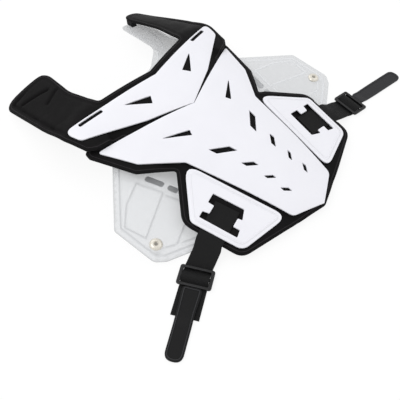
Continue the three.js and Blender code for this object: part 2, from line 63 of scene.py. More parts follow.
# Outlines of the right half, from the middle line outwards: x, y, corner radius.
CHEST_PLATE = [(0, -0.3, 0), (152.5, 51, 3), (129.5, -5.8, 14), (85, -56, 10), (48.4, -219.8, 12),
               (0, -241.4, 0)]
COLLAR_PLATE = [(0, 77.5, 0), (164, 105.5, 10), (157, 78, 15), (70, 29, 60), (0, 0.3, 0)]
SIDE_PLATE = [(88, -56, 14), (150.5, -119, 12), (134.5, -197.5, 16), (55.5, -213.5, 12)]
CHEST_PAD = [(0, -6, 0), (142, 41.4, 0), (143, 58, 0), (155, 67, 2), (163, 66, 5), (164.5, 55, 8),
             (141, -12.5, 22), (102, -53, 5), (158.5, -112, 26), (142.5, -203, 22), (60, -228, 25),
             (0, -244.5, 12)]
COLLAR_PAD = [(0, 89.5, 0), (93, 107, 8), (100, 162, 60), (89, 230, 22), (162.5, 255.5, 16),
              (170.5, 150, 60), (171.5, 100, 50), (162.5, 61.5, 6), (151, 51.2, 0), (112, 38.2, 0),
              (106, 29.8, 0), (0, -5.6, 0)]
BACK_SHELL = [(0, 128, 0), (46, 134, 30), (84, 158, 22), (84, 236, 8), (124, 237, 10), (146, 112, 40),
              (148, 39, 15), (227, -37.8, 8), (226.5, -106.5, 14), (214, -119, 12), (130, -160, 20),
              (0, -172, 0)]

# Holes of the right half.
STRAP_WINDOW = [(97.5, -116), (112.5, -119), (111, -128.5), (124, -131), (127.5, -121.8), (137.5, -123.8),
                (126.5, -181), (115.5, -177), (117.5, -167), (104, -164.5), (102, -171), (87.5, -163)]
CHEST_TRIANGLE = [(82.2, -4.1), (47, -35.4), (42.8, -26.9)]
COLLAR_TRIANGLE = [(76.8, 73.3), (44.7, 43.1), (36.5, 54.7)]
# Middle, then the reach of the long and of the short diagonal.
DIAMONDS = [(36.6, -84.2, 13.6, 16.4, 10.8, 2.9), (28.6, -126.9, 7.3, 10.9, 6.4, 1.7),
            (25.2, -160.4, 5.2, 8, 4.9, 1.4), (24.6, -188.8, 4.1, 8, 4.4, 1.1)]
COLLAR_SLOT = ((102.5, 89.5), (143, 96.5), 6)
SHELL_SLOTS = [((135, -12.5), (127, -40.5), 9.5), ((125.5, -47), (121.5, -62), 9.5)]

# Raised lines of the shell, right half.
SHELL_RIBS = [[(150.6, -9), (138.3, -48), (207, -76.4), (213.7, -44.7), (185.1, -22), (150.6, -9)],
              [(138.1, -56.3), (132.5, -72.3)], [(159.4, -103.3), (185.5, -112.7)],
              [(200.5, -104.4), (189.4, -111.4)], [(179.2, -116.9), (160, -126.9)],
              [(112, 214), (115, 182.6), (106.2, 162.5), (95.3, 143.1)]]

# Folds across the left shoulder pad: line, depth, reach to both sides.
FOLDS = [([(-148, 222), (-112.8, 199.1)], 3.4, 2.4), ([(-131.9, 178.3), (-106.6, 185.4)], 2.6, 2.6)]
# Lines along the rims of the pads: height or depth, distance from the rim, reach to both sides.
RIM_RIDGE = (0.5, 3.5, 1.8)
PAD_GROOVE = (1.1, 8.5, 2.4)
ARM_GROOVE = (3.2, 11, 2.4)
ARM_SIDE = (118, 145)

# Bends of the front across and at the waist, level of the side plates, lift of the left wing.
CHEST_BEND = 0.0013
COLLAR_BEND = 0.00088
WAIST_BEND = 0.00073
WAIST_START = -120
SIDE_DROP = 4.2
SIDE_SLOPE = 0.075
SIDE_RISE = 0.02
SIDE_MIDDLE = -130
WING_LIFT = 5
WING_SPAN = (80, 170)
# Valley of the chest pad between the chest plate and the side plates.
VALLEY_WIDTH = 5
VALLEY_DEPTH = 3
VALLEY_REACH = 24
VALLEY_START = (50, 60)
# Where the collar pad climbs over the chest pad: past the chest plate's edge, and sooner at the tips.
COLLAR_RISE = (12, 32)
TIP_RISE = (-20, -8)
TIP_SPAN = (115, 140)
# Where the collar pad turns into the shoulder pads, at the neck and at the arms.
NECK_TURN = (98, 128)
ARM_TURN = (72, 140)
ARM_SPAN = (140, 168)
# Long edges of the shoulder pads: start up the body, level, slope, bend.
NECK_EDGE = (107, -11.4, -0.31, 0)
ARM_EDGE = (110, -31, -0.42, -0.0003)
SHOULDER_SPAN = (97, 163)
SHOULDER_CROWN = 3

# The shell is flat at the spine, rises to the neck and the wings, and rolls down at the shoulders.
SPINE_SPAN = (25, 130)
NECK_SPAN = (60, 128)
NECK_HEIGHT = 18
ROLL_START = 80
# Slope and the span up the body over which it comes in.
SHOULDER_ROLL = [(0.33, 90, 180), (0.17, 190, 235)]
WING_HEIGHTS = ((-175, -136, -106, -38, 23, 140, 240), (3, 5.5, 10, 19, 23, 31, 45))
WING_DROP = 2.2
# Raised line inside the shell's rim, and the reach of all its raised lines to both sides.
RIM_LINE = 9
RIB_REACH = 2
# Tones of the shell, its raised lines and its slots' floors, at the right and at the left. The left wing is
# painted paler, and the raised lines are painted as highlights at the right and as shade at the left.
SHELL_TONES = (0.96, 1.1)
RIB_LIGHT_AND_SHADE = (0.25, -0.3)
SLOT_TONES = (0.84, 0.5)
# How much of the ground the shell, its raised lines and its slots' floors hide.
SHELL_BODY = 0.42
RIB_BODY = 0.6
SLOT_BODY = 0.8
RIVET_PLACE = (205.5, -92.7)
STRAP_EXIT = (151.5, -152.5)
PAD_HEADING = 13
# How deep the strap's upper face and its middle lie in the pad, and the room beside it.
STRAP_SINK = 0.6
STRAP_MIDDLE = 1.4
STRAP_ROOM = 7
# Heading in degrees from straight across, shift aside at the pad and beyond it, distances along the
# strap, share of painted sheen on the tongue, and how much the tongue widens at the buckle.
STRAPS = {
    "left": SimpleNamespace(sign=-1, heading=24.6, start=2.5, aside=-6.9, buckle=51, end=106.5,
                            tongue_end=162.5, roughness_and_painted_sheen=0, flare=0.12),
    "right": SimpleNamespace(sign=1, heading=13, start=-5, aside=-1.5, buckle=56.5, end=73.5,
                             tongue_end=174, roughness_and_painted_sheen=0.7, flare=-0.06),
}
PAD_REACHES = (-54, -40, -26, -12, 2)
FALLING = (14, 21, 28)
# Distance along the strap, or from the buckle's middle, and height.
PAD_EDGE = (4, 16.5)
THROUGH_BUCKLE = ((-12.5, 1.1), (-10, 1.3), (-2, 6.8), (2, 6.8), (10.5, 1.1))
SWING = 43
ON_FLOOR = 1.1
ROW_STEP = 2
BUCKLE_BOTTOM = 2.2
# Widths of the slides' rails and end bars, and half the width of the middle bar.
BUCKLE_RAIL = 4.9
END_BAR = 4
HALF_BAR = 2
TONGUE_HEIGHTS = (3.7, 1.8)
# Steps of the tongues' raised border, from the rim inwards: width and rise.
TONGUE_BORDER = [(1.2, 0), (0.5, 0.4), (0.5, 0), (0.5, -0.9)]
TAB_BOX = (100, 225, 112, 240)
# Sizes of the squares that the pieces are cut into before they are bent.
SQUARES = {"front": 7, "side": 4, "chest_pad": 4, "collar_pad": 2.5, "shell": 8, "slot": 1.5, "tab": 3.5}

UNDER_PLATE = 2.8
CLEARANCE = 0.3
ROLL_WIDTH = 9
# Distance from the rim for plates without a raised line.
NO_RIDGE = 99
FILL_FRAMES = 20
FILL_PRESSURE = 4

CAMERA_PLACE = (-429.92, -354.79, 594.85)
CAMERA_TURN = (34.474287, -0.341608, -51.203463)
LENS = 45
SENSOR = 36
# Name, place and size in metres, power in watts. The floor's sizes are in metres too.
LAMPS = [("key", (-0.9, 0.5, 1.5), 1.2, 8), ("fill", (0.9, -0.9, 1.3), 1.4, 3),
         ("back", (0.4, 1.2, 1.0), 1.0, 3)]
SKY_STRENGTH = 0.78
FLOOR_SIZE = 8
FLOOR_DROP = 0.0003


def linear(text):
    """sRGB hex colour to the linear values that Blender mixes."""
    channels = [int(text[i:i + 2], 16) / 255 for i in (1, 3, 5)]
    return tuple(c / 12.92 if c <= 0.04045 else ((c + 0.055) / 1.055) ** 2.4 for c in channels)


def length(name, text, millimetres):
    return FloatProperty(name=name, description=text, default=millimetres * MM, min=0, unit="LENGTH")


def colour(name, text, hex_value):
    return FloatVectorProperty(name=name, description=text, default=linear(hex_value), subtype="COLOR",
                               size=3)


class VestSizes(bpy.types.PropertyGroup):
    plate: length("Plate Thickness", "Wall of the white plates", 2.5)
    roll: length("Rolled Edge", "How far the rims of the white plates curl down", 0.9)
    pad: length("Pad Thickness", "Foam under the white plates", 7.5)
    shoulder: length("Shoulder Thickness", "Foam of the shoulder pads before it is filled", 9)
    border: length("Pad Border", "Foam at the pressed border of the pads", 4.5)
    shell: length("Shell Thickness", "Wall of the clear back shell", 2.2)
    rib: length("Rib Height", "Height of the lines raised on the back shell", 0.8)
    webbing: length("Webbing Width", "Width of the straps", 37)
    webbing_thick: length("Webbing Thickness", "Thickness of the straps", 1.6)
    buckle_length: length("Buckle Length", "Size of the slides along the strap", 29)
    buckle_width: length("Buckle Width", "Size of the slides across the strap", 47)
    buckle_thick: length("Buckle Thickness", "Thickness of the slides", 3.5)
    tongue: length("Tongue Width", "Width of the rubber tongues", 23.5)
    tongue_thick: length("Tongue Thickness", "Thickness of the rubber tongues", 3)
    rivet: length("Rivet Radius", "Radius of the rivets' heads", 9)


class VestColours(bpy.types.PropertyGroup):
    white: colour("White Plastic", "Moulded plates", "#F1F1F7")
    foam: colour("Foam", "Knitted cover of the pads", "#0A090A")
    clear: colour("Clear Plastic", "Body of the back shell", "#D2D4D7")
    webbing: colour("Webbing", "Woven straps and shoulder tabs", "#0E0E0F")
    buckle: colour("Buckle", "Moulded slides", "#111113")
    rubber: colour("Rubber", "Tongues at the ends of the straps", "#0F0F10")
    rivet: colour("Rivet", "Plated metal", "#E4DFD4")
    floor: colour("Floor", "Ground under the vest", "#F4F4F4")


def sizes_in_mm():
    group = bpy.context.scene.vest_sizes
    return SimpleNamespace(**{name: getattr(group, name) / MM for name in VestSizes.__annotations__})


def smoothstep(value, start, end):
    t = np.clip((value - start) / (end - start), 0, 1)
    return t * t * (3 - 2 * t)


def mix(a, b, share):
    return a + (b - a) * share


def moving_step(value, span, other, share):
    """Smooth step whose start and end move from one span to another."""
    return smoothstep(value, mix(span[0], other[0], share), mix(span[1], other[1], share))


def wing_lift(x):
    """The left wing lies a little higher than the right one."""
    return WING_LIFT * smoothstep(-x, *WING_SPAN)


def chest_top(x, y):
    return wing_lift(x) - CHEST_BEND * x * x - WAIST_BEND * np.maximum(0, WAIST_START - y) ** 2


def collar_top(x, y):
    return wing_lift(x) - COLLAR_BEND * x * x


def side_top(x, y):
    return -SIDE_DROP - SIDE_SLOPE * np.abs(x) + SIDE_RISE * (y - SIDE_MIDDLE)


def beside_chest_plate(x, y):
    """Share of the side plates' level, and the depth of the valley between them and the chest plate."""
    waist, low = np.array(CHEST_PLATE[3][:2]), np.array(CHEST_PLATE[4][:2])
    along = (waist - low) / np.linalg.norm(waist - low)
    out = (np.abs(x) - waist[0]) * along[1] - (y - waist[1]) * along[0]
    share = smoothstep(out, 0, VALLEY_WIDTH) * smoothstep(-y, *VALLEY_START)
    aside = np.abs(out - VALLEY_WIDTH / 2)
    return share, VALLEY_DEPTH * (1 - smoothstep(aside, VALLEY_WIDTH, VALLEY_REACH))


def chest_pad_top(x, y):
    share, valley = beside_chest_plate(x, y)
    return mix(chest_top(x, y), side_top(x, y), share) - valley - UNDER_PLATE


def shoulder_share(x, y):
    """Share of the shoulder pad's level in the collar pad's, from the collar to the shoulder."""
    return moving_step(y, NECK_TURN, ARM_TURN, smoothstep(np.abs(x), *ARM_SPAN))


def shoulder_edge(y, start, level, slope, bend):
    reach = y - start
    return level + slope * reach + bend * reach * reach


def collar_pad_top(x, y):
    edge_x, edge_y = CHEST_PLATE[1][:2]
    past = y - np.abs(x) * edge_y / edge_x
    rise = moving_step(past, COLLAR_RISE, TIP_RISE, smoothstep(np.abs(x), *TIP_SPAN))
    collar = mix(chest_top(x, y), collar_top(x, y), rise) - UNDER_PLATE
    start, end = SHOULDER_SPAN
    across = np.clip((np.abs(x) - start) / (end - start), 0, 1)
    level = mix(shoulder_edge(y, *NECK_EDGE), shoulder_edge(y, *ARM_EDGE), across)
    crown = SHOULDER_CROWN * 4 * across * (1 - across)
    return mix(collar, level + crown, shoulder_share(x, y))


def shell_bottom(x, y):
    spine = NECK_HEIGHT * smoothstep(y, *NECK_SPAN)
    wing = np.interp(y, *WING_HEIGHTS) - WING_DROP
    roll = sum(slope * smoothstep(y, start, end) for slope, start, end in SHOULDER_ROLL)
    level = mix(spine, wing, smoothstep(np.abs(x), *SPINE_SPAN))
    return level - roll * np.maximum(0, np.abs(x) - ROLL_START)


def front_to_part(points):
    x, y, z = np.asarray(points, float).T
    c, s = math.cos(FRONT_TILT), math.sin(FRONT_TILT)
    return np.stack([x, y * c - z * s, y * s + z * c + FRONT_LIFT], 1) + VEST_OFFSET


def shell_to_part(points):
    x, y, z = np.asarray(points, float).T
    c, s = math.cos(SHELL_TURN), math.sin(SHELL_TURN)
    return np.stack([x * c - y * s + SHELL_SHIFT, x * s + y * c, z], 1) + VEST_OFFSET


def rounded(corners, steps=7):
    """Ring of points along corners (x, y, radius), each turned into a short curve."""
    ring = []
    for i, (x, y, radius) in enumerate(corners):
        here = np.array([x, y])
        before = np.array(corners[i - 1][:2]) - here
        after = np.array(corners[(i + 1) % len(corners)][:2]) - here
        reach = np.linalg.norm(before), np.linalg.norm(after)
        turn = math.acos(np.clip(before @ after / (reach[0] * reach[1]), -1, 1))
        cut = min(radius / math.tan(turn / 2), 0.48 * min(reach))
        if cut < 0.05:
            ring.append(here)
            continue
        start = here + before / reach[0] * cut
        end = here + after / reach[1] * cut
        for t in np.linspace(0, 1, steps):
            ring.append(start * (1 - t) ** 2 + here * 2 * t * (1 - t) + end * t * t)
    return np.array(ring)


def both_halves(half):
    """Whole rounded ring from the corners of its right half."""
    return rounded(half + [(-x, y, r) for x, y, r in reversed(half) if x > 0])


def mirrored(ring):
    return np.asarray(ring)[::-1] * (-1, 1)


def both_sides(rings):
    return rings + [mirrored(ring) for ring in rings]


def corner_ring(points, radius):
    return rounded([(x, y, radius) for x, y in points])


def slot_ring(slot):
    start, end, width = np.array(slot[0]), np.array(slot[1]), slot[2]
    along = (end - start) / np.linalg.norm(end - start)
    side = np.array([-along[1], along[0]]) * width / 2
    return corner_ring([start + side, start - side, end - side, end + side], width * 0.45)


def diamond_ring(x, y, long_x, long_y, short_x, short_y):
    reaches = (long_x, long_y), (short_x, short_y), (-long_x, -long_y), (-short_x, -short_y)
    return corner_ring([(x + dx, y + dy) for dx, dy in reaches], 0.6)


def edge_distance(points, ring):
    """Distance of points from a ring, above zero inside it."""
    x, y = points.T[:2]
    nearest = np.full(len(x), np.inf)
    inside = np.zeros(len(x), bool)
    for (ax, ay), (bx, by) in zip(ring, np.roll(ring, -1, axis=0)):
        dx, dy = bx - ax, by - ay
        square = dx * dx + dy * dy
        if square < 1e-9:
            continue
        t = np.clip(((x - ax) * dx + (y - ay) * dy) / square, 0, 1)
        nearest = np.minimum(nearest, (x - ax - t * dx) ** 2 + (y - ay - t * dy) ** 2)
        if dy:
            inside ^= ((ay > y) != (by > y)) & (x < dx * (y - ay) / dy + ax)
    return np.where(inside, 1, -1) * np.sqrt(nearest)


def line_distance(points, line):
    """Distance of points from an open line."""
    nearest = np.full(len(points), np.inf)
    for a, b in zip(np.asarray(line[:-1], float), np.asarray(line[1:], float)):
        t = np.clip((points - a) @ (b - a) / ((b - a) @ (b - a)), 0, 1)
        nearest = np.minimum(nearest, np.linalg.norm(points - a - t[:, None] * (b - a), axis=1))
    return nearest


def select_only(obj):
    bpy.ops.object.select_all(action="DESELECT")
    obj.select_set(True)
    bpy.context.view_layer.objects.active = obj


def apply_modifiers(obj):
    select_only(obj)
    bpy.ops.object.convert(target="MESH")


@contextmanager
def editing():
    """Edit mode on the active piece, for the lines inside."""
    bpy.ops.object.mode_set(mode="EDIT")
    yield
    bpy.ops.object.mode_set(mode="OBJECT")


def places(obj):
    flat = np.empty(len(obj.data.vertices) * 3)
    obj.data.vertices.foreach_get("co", flat)
    return flat.reshape(-1, 3) / MM


def place(obj, points):
    obj.data.vertices.foreach_set("co", np.ravel(points) * MM)
    obj.data.update()


def keep(obj, name, values):
    """Stores a number for each vertex, for the material to read."""
    attribute = obj.data.attributes.new(name, "FLOAT", "POINT")
    attribute.data.foreach_set("value", np.asarray(values, np.float32))


def flat_plate(name, rings, thick, rim, step=None):
    """Flat plate about z = 0 from an outline and its holes, with rounded rims, cut into squares by a step."""
    curve = bpy.data.curves.new(name, "CURVE")
    curve.dimensions = "2D"
    curve.fill_mode = "BOTH"
    curve.extrude = (thick / 2 - rim) * MM
    curve.bevel_depth = rim * MM
    curve.bevel_resolution = 2
    curve.offset = -rim * MM
    for ring in rings:
        spline = curve.splines.new("POLY")
        spline.points.add(len(ring) - 1)
        for point, (x, y) in zip(spline.points, ring):
            point.co = (x * MM, y * MM, 0, 1)
        spline.use_cyclic_u = True
    obj = bpy.data.objects.new(name, curve)
    bpy.context.scene.collection.objects.link(obj)
    apply_modifiers(obj)
    with editing():
        bpy.ops.mesh.select_all(action="SELECT")
        bpy.ops.mesh.remove_doubles(threshold=0.02 * MM)
        bpy.ops.mesh.dissolve_limited(angle_limit=math.radians(0.5))
        bpy.ops.mesh.select_all(action="SELECT")
        bpy.ops.mesh.normals_make_consistent(inside=False)
    if step:
        cut_grid(obj, step)
    return obj


def cut_across(spots, direction):
    """Cuts the faces of the active plate along lines square to a direction."""
    with editing():
        for spot in spots:
            bpy.ops.mesh.select_all(action="SELECT")
            bpy.ops.mesh.bisect(plane_co=Vector(direction) * spot * MM, plane_no=direction)


def cut_grid(obj, step):
    """Cuts the active plate into small squares, so that it bends evenly."""
    low, high = places(obj).min(0), places(obj).max(0)
    for axis, direction in ((0, (1, 0, 0)), (1, (0, 1, 0))):
        cut_across(np.arange(math.ceil(low[axis] / step) * step, high[axis], step), direction)


def cut_lines(obj, lines, half_width):
    """Cuts the faces next to each line along its middle and both its sides."""
    select_only(obj)
    for line in lines:
        for a, b in zip(np.asarray(line[:-1], float), np.asarray(line[1:], float)):
            along = (b - a) / np.linalg.norm(b - a)
            side = np.array([-along[1], along[0]])
            for offset in (-half_width, 0, half_width):
                flat = np.empty(len(obj.data.polygons) * 3)
                obj.data.polygons.foreach_get("center", flat)
                near = line_distance(flat.reshape(-1, 3)[:, :2] / MM, [a, b]) < half_width + 9
                with editing():
                    bpy.ops.mesh.select_mode(type="FACE")
                    bpy.ops.mesh.select_all(action="DESELECT")
                obj.data.polygons.foreach_set("select", near)
                spot = (a + side * offset) * MM
                with editing():
                    bpy.ops.mesh.bisect(plane_co=(*spot, 0), plane_no=(*side, 0))


def finish(obj, material, slot, *nodes, angle=40):
    """Shades a piece smooth below an angle, gives it its material and puts it in the place of its solids."""
    select_only(obj)
    bpy.ops.object.shade_smooth_by_angle(angle=math.radians(angle))
    obj.data.materials.clear()
    obj.data.materials.append(material)
    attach(obj, "root")
    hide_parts(*nodes)


def material_of(name, draw, space="Object", **looks):
    """Material whose shader a function draws in a space for patterns, made once for each name."""
    known = bpy.data.materials.get(name)
    if known:
        return known
    material = bpy.data.materials.new(name)
    material.use_nodes = True
    tree = material.node_tree
    tree.nodes.clear()

    def add(kind, inputs, output=0, **settings):
        """Adds a shader node with its settings, values and links, and returns one of its outputs."""
        node = tree.nodes.new("ShaderNode" + kind)
        for key, value in settings.items():
            setattr(node, key, value)
        for key, value in inputs.items():
            if isinstance(value, bpy.types.NodeSocket):
                tree.links.new(value, node.inputs[key])
            else:
                node.inputs[key].default_value = value
        return node.outputs[output] if node.outputs else None

    shader = draw(add, add("TexCoord", {}, space), **looks)
    add("OutputMaterial", {"Surface": shader})
    return material


def rgba(name, share=1.0):
    """Colour of the panel by its name, made darker or paler."""
    red, green, blue = getattr(bpy.context.scene.vest_colours, name)
    return (red * share, green * share, blue * share, 1)


def marks_of(millimetres):
    """Scale of a pattern whose marks have a real size."""
    return 1 / (millimetres * MM)


def threads_of(millimetres):
    """Scale of a wave pattern, on a length in millimetres, whose threads have a real spacing."""
    return math.tau / 20 / millimetres


def line_by_rim(add, inset, reach):
    """Share that is 0 on a line at an inset from the rim and 1 beyond its reach, both in millimetres."""
    rim = add("Attribute", {}, "Fac", attribute_name="rim_mm")
    away = add("Math", {0: rim, 1: inset}, operation="SUBTRACT")
    off = add("Math", {0: away}, operation="ABSOLUTE")
    return add("MapRange", {"Value": off, "From Max": reach}, interpolation_type="SMOOTHSTEP")


def white_plastic(add, space):
    """Moulded polypropylene: a bright satin skin with a faint orange peel and a raised line by the rim."""
    cloud = add("TexNoise", {"Vector": space, "Scale": marks_of(55), "Detail": 2})
    tint = add("Mix", {0: cloud, 6: rgba("white"), 7: rgba("white", 0.94)}, 2, data_type="RGBA")
    polish = add("MapRange", {"Value": cloud, "To Min": 0.24, "To Max": 0.38})
    peel = add("TexNoise", {"Vector": space, "Scale": marks_of(2.2), "Detail": 2})
    skin = add("Bump", {"Height": peel, "Strength": 0.12, "Distance": 0.3 * MM})
    line = line_by_rim(add, 6, 2.2)
    raised = add("Bump", {"Height": line, "Strength": 0.8, "Distance": 0.9 * MM, "Normal": skin}, invert=True)
    return add("BsdfPrincipled", {"Base Color": tint, "Roughness": polish, "IOR": 1.49, "Normal": raised})


def foam_cover(add, space):
    """Knitted polyester over foam: black and rough, with painted shade in its folds and a pressed line by the
    rim painted paler as a highlight.
    """
    cloud = add("TexNoise", {"Vector": space, "Scale": marks_of(18), "Detail": 4})
    tint = add("Mix", {0: cloud, 6: rgba("foam", 0.8), 7: rgba("foam", 1.35)}, 2, data_type="RGBA")
    roughness_and_painted_sheen = add("MapRange", {"Value": cloud, "To Min": 0.55, "To Max": 0.8})
    knit = add("TexVoronoi", {"Vector": space, "Scale": marks_of(1.6)})
    line = line_by_rim(add, 4.2, 1.3)
    # Painted highlight: the pressed line is painted paler, as if its slope caught the light.
    line_highlight_tint = add("Mix", {0: line, 6: rgba("foam", 9), 7: tint}, 2, data_type="RGBA")
    fine = add("Bump", {"Height": knit, "Strength": 0.25, "Distance": 0.4 * MM})
    pressed = add("Bump", {"Height": line, "Strength": 0.9, "Distance": 1.4 * MM, "Normal": fine})
    # Painted shade: the specular is turned down in the folds, so they read darker.
    fold = add("Attribute", {}, "Fac", attribute_name="fold_mm")
    specular_with_fold_shade = add("MapRange", {"Value": fold, "From Max": 2.2, "To Min": 0.13, "To Max": 0})
    return add("BsdfPrincipled", {"Base Color": line_highlight_tint, "Roughness": roughness_and_painted_sheen, "Specular IOR Level": specular_with_fold_shade,
                                  "Normal": pressed})


def clear_plastic(add, space):
    """Clear polycarbonate over a white ground: pale grey and glossy, with painted light and shade in its
    tone: paler raised lines at the right, darker raised lines and rim and a paler body at the left.
    """
    cloud = add("TexNoise", {"Vector": space, "Scale": marks_of(40), "Detail": 3})
    tone = add("Attribute", {}, "Fac", attribute_name="tone")
    tint = add("Mix", {0: tone, 6: rgba("clear", 0), 7: rgba("clear")}, 2, data_type="RGBA",
               clamp_factor=False)
    polish = add("MapRange", {"Value": cloud, "To Min": 0.12, "To Max": 0.3})
    body = add("Attribute", {}, "Fac", attribute_name="body")
    ripple = add("Bump", {"Height": cloud, "Strength": 0.1, "Distance": 1 * MM})
    return add("BsdfPrincipled", {"Base Color": tint, "Roughness": polish, "IOR": 1.585, "Alpha": body,
                                  "Normal": ripple})


def woven_webbing(add, space):
    """Polyester webbing: black threads crossing in a plain weave, read as fine ribs along the strap."""
    warp, weft = [add("TexWave", {"Vector": space, "Scale": threads_of(gap), "Distortion": 0.4}, "Fac",
                      bands_direction=axis) for axis, gap in (("Y", 0.9817), ("X", 1.309))]
    weave = add("Math", {0: warp, 1: weft}, operation="MULTIPLY")
    tint = add("Mix", {0: weave, 6: rgba("webbing", 0.7), 7: rgba("webbing", 1.5)}, 2, data_type="RGBA")
    rough = add("MapRange", {"Value": weave, "To Min": 0.75, "To Max": 0.55})
    bump = add("Bump", {"Height": weave, "Strength": 0.6, "Distance": 0.35 * MM})
    return add("BsdfPrincipled", {"Base Color": tint, "Roughness": rough, "Specular IOR Level": 0.25,
                                  "Normal": bump})


def moulded(add, space, dark, roughness, grain, shine):
    """Moulded dark plastic or rubber: an even skin whose grain breaks the light, with a painted sheen that
    makes it paler where the light would catch it.
    """
    noise = add("TexNoise", {"Vector": space, "Scale": marks_of(grain), "Detail": 3})
    skin = add("Mix", {0: noise, 6: rgba(dark, 0.85), 7: rgba(dark, 1.15)}, 2, data_type="RGBA")
    roughness_and_painted_sheen = add("Attribute", {}, "Fac", attribute_name="roughness_and_painted_sheen")
    tint = add("Mix", {0: roughness_and_painted_sheen, 6: skin, 7: rgba(dark, 8)}, 2, data_type="RGBA")
    rough = add("MapRange", {"Value": noise, "To Min": roughness - 0.06, "To Max": roughness + 0.06})
    bump = add("Bump", {"Height": noise, "Strength": 0.2, "Distance": 0.2 * MM})
    return add("BsdfPrincipled", {"Base Color": tint, "Roughness": rough, "Specular IOR Level": shine,
                                  "Normal": bump})


def plated_metal(add, space):
    """Nickel-plated steel: a warm bright dome with a dark hollow in its middle."""
    noise = add("TexNoise", {"Vector": space, "Scale": marks_of(0.3), "Detail": 2})
    hollow = add("Attribute", {}, "Fac", attribute_name="hollow")
    tint = add("Mix", {0: hollow, 6: rgba("rivet"), 7: rgba("rivet", 0.38)}, 2, data_type="RGBA")
    rough = add("MapRange", {"Value": noise, "To Min": 0.24, "To Max": 0.3})
    return add("BsdfPrincipled", {"Base Color": tint, "Metallic": 0.4, "Roughness": rough})


def studio_floor(add, space):
    """Matt white paper: an even pale ground that keeps only the contact shadow."""
    noise = add("TexNoise", {"Vector": space, "Scale": marks_of(3), "Detail": 2})
    tint = add("Mix", {0: noise, 6: rgba("floor", 0.14), 7: rgba("floor", 0.15)}, 2, data_type="RGBA")
    return add("BsdfPrincipled", {"Base Color": tint, "Roughness": 0.9, "Specular IOR Level": 0.1,
                                  "Emission Color": rgba("floor"), "Emission Strength": 0.96})


def roll_down(edge, depth):
    """How far the rim of a white plate curls down at a distance from its edge."""
    return depth * (1 - smoothstep(edge, 0, ROLL_WIDTH))


def white_plate(name, node, outline, holes, top, step, ridge=False):
    """One white plate, cut flat, bent to its surface and curled down along its rim."""
    sizes = sizes_in_mm()
    plate = flat_plate(name, [outline, *holes], sizes.plate, 0.55, step)
    points = places(plate)
    edge = edge_distance(points, outline)
    level = top(*points.T[:2])
    points[:, 2] += level - sizes.plate / 2 - roll_down(edge, sizes.roll)
    place(plate, front_to_part(points))
    keep(plate, "rim_mm", edge if ridge else np.full(len(edge), NO_RIDGE))
    finish(plate, material_of("white_polypropylene", white_plastic), "white_plastic", node, angle=35)


class VEST_OT_front_plates(bpy.types.Operator):
    """Builds the white collar plate and chest plate"""
    bl_idname = "vest.front_plates"
    bl_label = "Collar and Chest Plates"

    def execute(self, context):
        step = SQUARES["front"]
        holes = both_sides([corner_ring(CHEST_TRIANGLE, 1)])
        holes += both_sides([diamond_ring(*diamond) for diamond in DIAMONDS])
        white_plate("white_chest", "chest_plate", both_halves(CHEST_PLATE), holes, chest_top, step)
        holes = both_sides([corner_ring(COLLAR_TRIANGLE, 1)]) + both_sides([slot_ring(COLLAR_SLOT)])
        white_plate("white_collar", "collar_plate", both_halves(COLLAR_PLATE), holes, collar_top, step)
        return {"FINISHED"}


class VEST_OT_side_plates(bpy.types.Operator):
    """Builds the two white side plates with the windows of the straps"""
    bl_idname = "vest.side_plates"
    bl_label = "Side Plates"

    def execute(self, context):
        outline, window = rounded(SIDE_PLATE), corner_ring(STRAP_WINDOW, 1.5)
        rings = {"right": (outline, window), "left": (mirrored(outline), mirrored(window))}
        for side, (ring, hole) in rings.items():
            white_plate("white_side_" + side, "side_plate_" + side, ring, [hole], side_top, SQUARES["side"],
                        ridge=True)
        return {"FINISHED"}


def raw_pad(name, outline, thick, step):
    """Flat pad: the piece, its points, their distance from the rim and share of the thickness from below."""
    pad = flat_plate(name, [outline], thick, thick * 0.4, step)
    points = places(pad)
    return pad, points, edge_distance(points, outline), np.clip(points[:, 2] / thick + 0.5, 0, 1)


def fill_pad(pad, held, limit):
    """Swells the pad as filled cloth, held where plates and seams press it, by no more than a limit."""
    start = places(pad)
    group = pad.vertex_groups.new(name="held")
    group.add(np.nonzero(held)[0].tolist(), 1.0, "REPLACE")
    cloth = pad.modifiers.new("Filling", "CLOTH")
    cloth.settings.quality = 5
    cloth.settings.use_pressure = True
    cloth.settings.uniform_pressure_force = FILL_PRESSURE
    cloth.settings.vertex_group_mass = "held"
    cloth.settings.effector_weights.gravity = 0
    cloth.point_cache.frame_start = 1
    cloth.point_cache.frame_end = FILL_FRAMES
    scene = bpy.context.scene
    for step in range(1, FILL_FRAMES + 1):
        scene.frame_set(step)
    shown = pad.evaluated_get(bpy.context.evaluated_depsgraph_get())
    flat = np.empty(len(pad.data.vertices) * 3)
    shown.data.vertices.foreach_get("co", flat)
    pad.modifiers.remove(cloth)
    pad.vertex_groups.remove(group)
    scene.frame_set(1)
    shift = flat.reshape(-1, 3) / MM - start
    far = np.maximum(np.linalg.norm(shift, axis=1), 1e-6)
    place(pad, start + shift * np.minimum(1, limit / far)[:, None])


def strap_axes(sign, heading):
    """Directions along and across a strap, on the flat."""
    angle = math.radians(heading)
    along = np.array([sign * math.cos(angle), -math.sin(angle)])
    return along, np.array([-along[1], along[0]])


